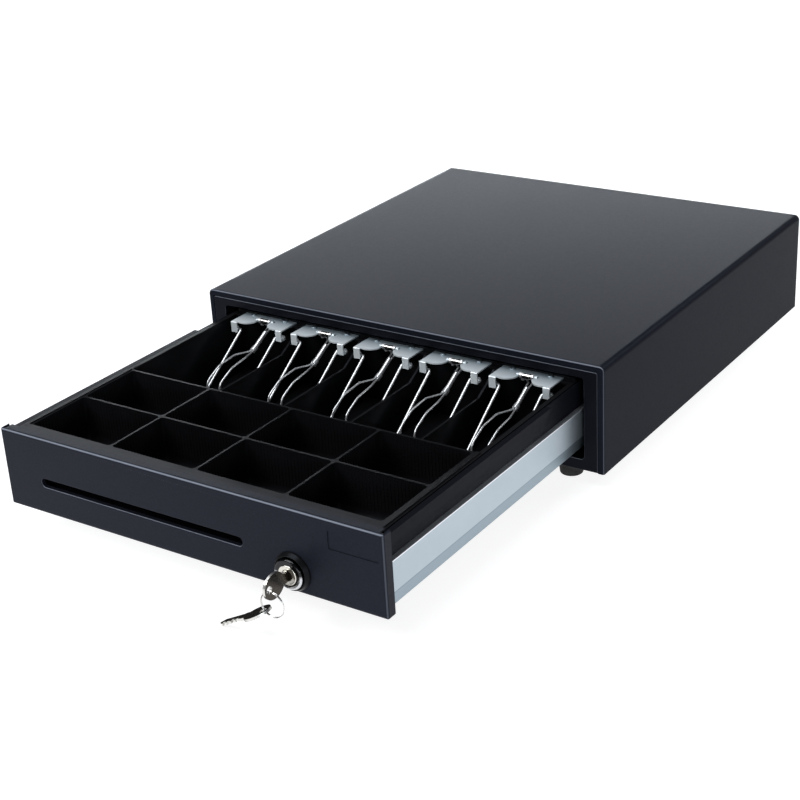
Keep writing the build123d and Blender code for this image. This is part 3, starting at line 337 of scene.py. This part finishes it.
def winding(name):
    """Wound copper wire under varnish, in rings along Z."""
    f = Finish(name)
    wave = f.node("ShaderNodeTexWave", wave_type="BANDS", bands_direction="Z")
    wave.inputs["Scale"].default_value = 300.0
    wave.inputs["Distortion"].default_value = 0.4
    f.link(f.coordinates, wave.inputs["Vector"])
    f.tint(wave.outputs["Fac"], (0.10, 0.025, 0.010), (0.42, 0.14, 0.05))
    f.set("Metallic", 0.6)
    f.rough(f.noise(200.0), 0.25, 0.4)
    f.bump(wave.outputs["Fac"], 0.0002, 0.7)
    return f.material


def middle(name):
    """The middle of a CAD node's box, in metres."""
    low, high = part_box(name)
    return [(a + b) / 2 for a, b in zip(low, high)]


def lock_offset(f):
    """The offset from the lock's axis, in metres, as a vector."""
    x, _, z = middle("lock_nut")
    shift = f.node("ShaderNodeMapping")
    shift.inputs["Location"].default_value = (-x, 0, -z)
    shift.inputs["Scale"].default_value = (1, 0, 1)
    f.link(f.coordinates, shift.inputs["Vector"])
    return shift.outputs["Vector"]


def lock_radius(f):
    """The distance from the lock's axis, in metres, as a value."""
    length = f.node("ShaderNodeVectorMath", operation="LENGTH")
    f.link(lock_offset(f), length.inputs[0])
    return length.outputs["Value"]


def lock_face_look(name, inner, outer):
    """Chrome round the lock's head, with painted shade in its turned groove and a painted dark reflection
    above its axis.
    """
    f = Finish(name)
    f.set("Metallic", 1.0)
    # painted shade: the turned groove is coloured near black
    groove = f.ramp(lock_radius(f), 0.0, 1.0, inner, outer)
    turned = f.tint(groove, (0.03, 0.03, 0.032), (0.62, 0.63, 0.65))
    # painted reflection: the head darkens above its axis, for the dark surround it would mirror
    upper_dark_reflection = f.part_of(lock_offset(f), "Z", -0.0005, 0.0020)
    f.tint(upper_dark_reflection, turned, PAINTED_DARK_REFLECTION)
    f.rough(f.noise(300.0, 3.0), 0.05, 0.14)
    return f.material


def keyway_look():
    """The plug's nickel face, dark brown within a few millimetres of its axis, round the keyway."""
    f = Finish("lock_plug_look")
    f.set("Metallic", 1.0)
    near_keyway = f.ramp(lock_radius(f), 0.0, 1.0, 0.0042, 0.0052)
    f.tint(near_keyway, (0.05, 0.042, 0.034), (0.66, 0.64, 0.58))
    f.rough(f.noise(900.0, 3.0), 0.12, 0.28)
    return f.material


def key_look(name, flat_axis, flat, grazing):
    """A dark nickel key, polished bright along its cut edges."""
    f = Finish(name)
    f.set("Metallic", 1.0)
    split = f.node("ShaderNodeSeparateXYZ")
    f.link(f.normal(), split.inputs["Vector"])
    size = f.node("ShaderNodeMath", operation="ABSOLUTE")
    f.link(split.outputs[flat_axis], size.inputs[0])
    edge = f.ramp(size.outputs["Value"], 1.0, 0.0, 0.55, 0.75)
    f.tint(edge, flat, (0.70, 0.69, 0.66))
    f.set("Specular Tint", (grazing, grazing, grazing, 1))
    f.rough(f.noise(700.0, 4.0), 0.22, 0.36)
    f.bump(f.noise(1500.0, 3.0), 0.00001, 0.6)
    return f.material


def slot_looks():
    """One finish for each of the record's material slots."""
    rolled = (2600.0, 26.0, 2600.0)
    even = (900.0, 900.0, 900.0)
    return {
        "case_paint": powder_coat("case_paint_look", (0.0078, 0.0088, 0.0138),
                                  (0.0105, 0.0118, 0.0180), 0.34, 0.38, 900.0, 0.00004, 0.020),
        "panel_paint": powder_coat("panel_paint_look", (0.0080, 0.0090, 0.0140),
                                   (0.0110, 0.0125, 0.0180), 0.36, 0.44, 900.0, 0.00004, 0.10),
        "frame_paint": powder_coat("frame_paint_look", (0.0045, 0.005, 0.007), (0.006, 0.0065, 0.009),
                                   0.34, 0.44, 1400.0, 0.00003, 0.06),
        "black_abs": moulded("black_abs_look", (0.004, 0.004, 0.0045), (0.007, 0.007, 0.008), 0.28, 0.42),
        "zinc_steel": plated("zinc_steel_look", (0.41, 0.48, 0.53), (0.44, 0.51, 0.56),
                             0.40, 0.46, rolled),
        "nickel_wire": plated("nickel_wire_look", (0.60, 0.59, 0.57), (0.75, 0.74, 0.72),
                              0.10, 0.24, even),
        "chrome": plated("chrome_look", (0.66, 0.67, 0.69), (0.74, 0.75, 0.77), 0.04, 0.12,
                         (300.0, 300.0, 300.0), 0.000001),
        "brass_plug": plated("brass_plug_look", (0.58, 0.56, 0.50), (0.70, 0.68, 0.62),
                             0.14, 0.28, even),
        "black_bezel": moulded("black_bezel_look", (0.004, 0.004, 0.004), (0.008, 0.008, 0.008), 0.3, 0.4),
        "rubber": rubber("rubber_look"),
        "screw_steel": plated("screw_steel_look", (0.05, 0.05, 0.055), (0.10, 0.10, 0.11),
                              0.3, 0.45, even),
        "roller_pom": moulded("roller_pom_look", (0.62, 0.62, 0.58), (0.70, 0.70, 0.66), 0.35, 0.5),
        "copper_coil": winding("copper_coil_look"),
        "spring_steel": plated("spring_steel_look", (0.30, 0.30, 0.31), (0.45, 0.45, 0.46),
                               0.2, 0.35, even),
        "lead_sheath": moulded("lead_sheath_look", (0.010, 0.010, 0.010), (0.016, 0.016, 0.016),
                               0.4, 0.55),
    }


def own_looks():
    """The finish of each CAD node that doesn't wear its slot's."""
    looks = {
        "drawer_pan": powder_coat("drawer_pan_look", (0.0045, 0.005, 0.007), (0.006, 0.0065, 0.009),
                                  0.36, 0.44, 900.0, 0.00004, 0.04),
        "drawer_rail_left": rail_look("drawer_rail_left_look"),
        "drawer_rail_right": rail_look("drawer_rail_right_look"),
        "lock_body": lock_face_look("lock_head_look", 0.0082, 0.0098),
        "lock_plug": keyway_look(),
        "drawer_key": key_look("drawer_key_look", "X", (0.070, 0.062, 0.054), 1.0),
        "spare_key": key_look("spare_key_look", "Z", (0.075, 0.066, 0.058), 0.24),
    }
    bracket = bracket_look("clip_bracket_look")
    wire = plated("clip_wire_look", (0.70, 0.71, 0.72), (0.82, 0.83, 0.84), 0.22, 0.36,
                  (900.0, 900.0, 900.0), metal=0.8)
    for name in nodes:
        if name.startswith("clip_bracket_"):
            looks[name] = bracket
        elif name.startswith("bill_clip_"):
            looks[name] = wire
    return looks


def add_materials():
    """Gives every CAD node its finish, and returns the finishes by slot."""
    by_slot = slot_looks()
    by_node = {part["node"]: by_slot[part["material_slot"]] for part in frame["record"]["subparts"]}
    by_node.update(own_looks())
    for name, look in by_node.items():
        for slot in nodes[name].material_slots:
            slot.material = look
    return by_slot


# --- detail the CAD pieces leave out ------------------------------------------------------------
def finish_mesh(name, maker, look, body, smooth=True):
    """Turns a filled bmesh into a piece that rides on a body."""
    mesh = bpy.data.meshes.new(name)
    bmesh.ops.recalc_face_normals(maker, faces=maker.faces)
    maker.to_mesh(mesh)
    maker.free()
    for face in mesh.polygons:
        face.use_smooth = smooth
    mesh.materials.append(look)
    piece = bpy.data.objects.new(name, mesh)
    scene.collection.objects.link(piece)
    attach(piece, body)
    return piece


def wound_wire(name, path, radius, look, body, sides=8):
    """A round wire along a path of points, closed at both ends."""
    maker = bmesh.new()
    rings = []
    for index, point in enumerate(path):
        ahead = path[min(index + 1, len(path) - 1)] - path[max(index - 1, 0)]
        turn = ahead.to_track_quat("Z", "Y")
        rings.append([
            maker.verts.new(point + turn @ Vector((radius * math.cos(a), radius * math.sin(a), 0)))
            for a in (2 * math.pi * side / sides for side in range(sides))
        ])
    for near, far in zip(rings, rings[1:]):
        shift = min(range(sides), key=lambda s: (near[0].co - far[s].co).length)
        for side in range(sides):
            maker.faces.new((near[side], near[(side + 1) % sides],
                             far[(side + 1 + shift) % sides], far[(side + shift) % sides]))
    maker.faces.new(rings[0])
    maker.faces.new(list(reversed(rings[-1])))
    return finish_mesh(name, maker, look, body)


def add_coil_spring(name, node, axis, turns, wire, look, body):
    """A compression spring inside a CAD node's sleeve, along Y or Z, with closed end turns."""
    low, high = (Vector(corner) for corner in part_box(node))
    centre = (low + high) / 2
    radius = (high.x - low.x) / 2 - wire
    along = 1 if axis == "Y" else 2
    start, end = low[along] + wire, high[along] - wire
    path = []
    steps = int(turns * 20)
    for step in range(steps + 1):
        share = step / steps
        closed = min(1.0, max(0.0, (share * turns - 1.0) / (turns - 2.0)))
        angle = 2 * math.pi * turns * share
        across, up = radius * math.cos(angle), radius * math.sin(angle)
        travel = start + (end - start) * (0.04 * share + 0.96 * closed)
        path.append(Vector((centre.x + across, travel, centre.z + up)) if axis == "Y"
                    else Vector((centre.x + across, centre.y + up, travel)))
    spring = wound_wire(name, path, wire, look, body)
    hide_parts(node)
    return spring


def add_springs(look):
    """The ejector spring behind the drawer and the latch's return spring."""
    ejector = add_coil_spring("ejector_coil", "ejector_spring", "Y", EJECTOR_TURNS, EJECTOR_WIRE,
                              look, "case")
    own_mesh(ejector)
    latch = add_coil_spring("latch_coil", "latch_spring", "Z", LATCH_TURNS, LATCH_WIRE, look, "case")
    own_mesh(latch)


def add_split_ring(look):
    """The key ring: flat wire wound nearly twice round."""
    low, high = (Vector(corner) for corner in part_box("key_ring"))
    centre = (low + high) / 2
    wire = (high.y - low.y) / 2
    radius = (high.x - low.x) / 2 - wire
    steps = 120
    path = []
    for step in range(steps + 1):
        angle = 0.5 + 2 * math.pi * RING_TURNS * step / steps
        # the wire steps over to its second layer in the tenth of its length either side of the middle
        slip = 0.5 * wire * max(-1.0, min(1.0, (step - steps / 2) / (steps / 10)))
        path.append(centre + Vector((radius * math.cos(angle), slip, radius * math.sin(angle))))
    ring = wound_wire("split_ring", path, wire * 0.5, look, "key_ring")
    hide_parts("key_ring")


def add_cup_ribs(look):
    """Fine upright ribs moulded into the walls of the coin cups."""
    maker = bmesh.new()
    pitch = 0.0032                   # from rib to rib
    proud, half = 0.00035, 0.00045   # a rib's height and half its width
    sunk = 0.0002                    # how deep its foot is set in the wall
    margin = 0.0068                  # left free at a wall's two ends together
    wall = 0.00325                   # from a cup's stated opening out to its wall
    drop, scoop = 0.0018, 0.0052     # left free under the tray's rim, and over the cup's rounded floor

    def rib(x, y, across, out, bottom, top):
        """One rib: its foot on the wall at (x, y), and a ridge standing out of it."""
        feet = [Vector((x, y, 0)) - out * sunk + across * half * sign for sign in (-1, 1)]
        ridge = Vector((x, y, 0)) + out * proud
        outline = [feet[0], ridge, feet[1]]
        lower = [maker.verts.new(point + Vector((0, 0, bottom))) for point in outline]
        upper_dark_reflection = [maker.verts.new(point + Vector((0, 0, top))) for point in outline]
        for side in range(3):
            maker.faces.new((lower[side], lower[(side + 1) % 3], upper_dark_reflection[(side + 1) % 3], upper_dark_reflection[side]))
        maker.faces.new(upper_dark_reflection)
        maker.faces.new(list(reversed(lower)))

    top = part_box("coin_tray")[1][2] - drop
    for opening in frame["record"]["physics"]["openings"]:
        if not opening["name"].startswith("coin_cup_"):
            continue
        low, high = opening["box_m"]
        bottom = low[2] + scoop
        x_wall = (low[0] - wall, high[0] + wall)
        for index in range(int((high[0] - low[0] - margin) / pitch)):
            x = low[0] + margin / 2 + pitch * (index + 0.5)
            rib(x, high[1] + wall, Vector((1, 0, 0)), Vector((0, -1, 0)), bottom, top)
            rib(x, low[1] - wall, Vector((1, 0, 0)), Vector((0, 1, 0)), bottom, top)
        for index in range(int((high[1] - low[1] - margin) / pitch)):
            y = low[1] + margin / 2 + pitch * (index + 0.5)
            rib(x_wall[0], y, Vector((0, 1, 0)), Vector((1, 0, 0)), bottom, top)
            rib(x_wall[1], y, Vector((0, 1, 0)), Vector((-1, 0, 0)), bottom, top)
    finish_mesh("coin_cup_ribs", maker, look, "coin_tray", smooth=False)


add_camera()
add_studio()
finishes = add_materials()
add_springs(finishes["spring_steel"])
add_split_ring(finishes["nickel_wire"])
add_cup_ribs(finishes["black_abs"])
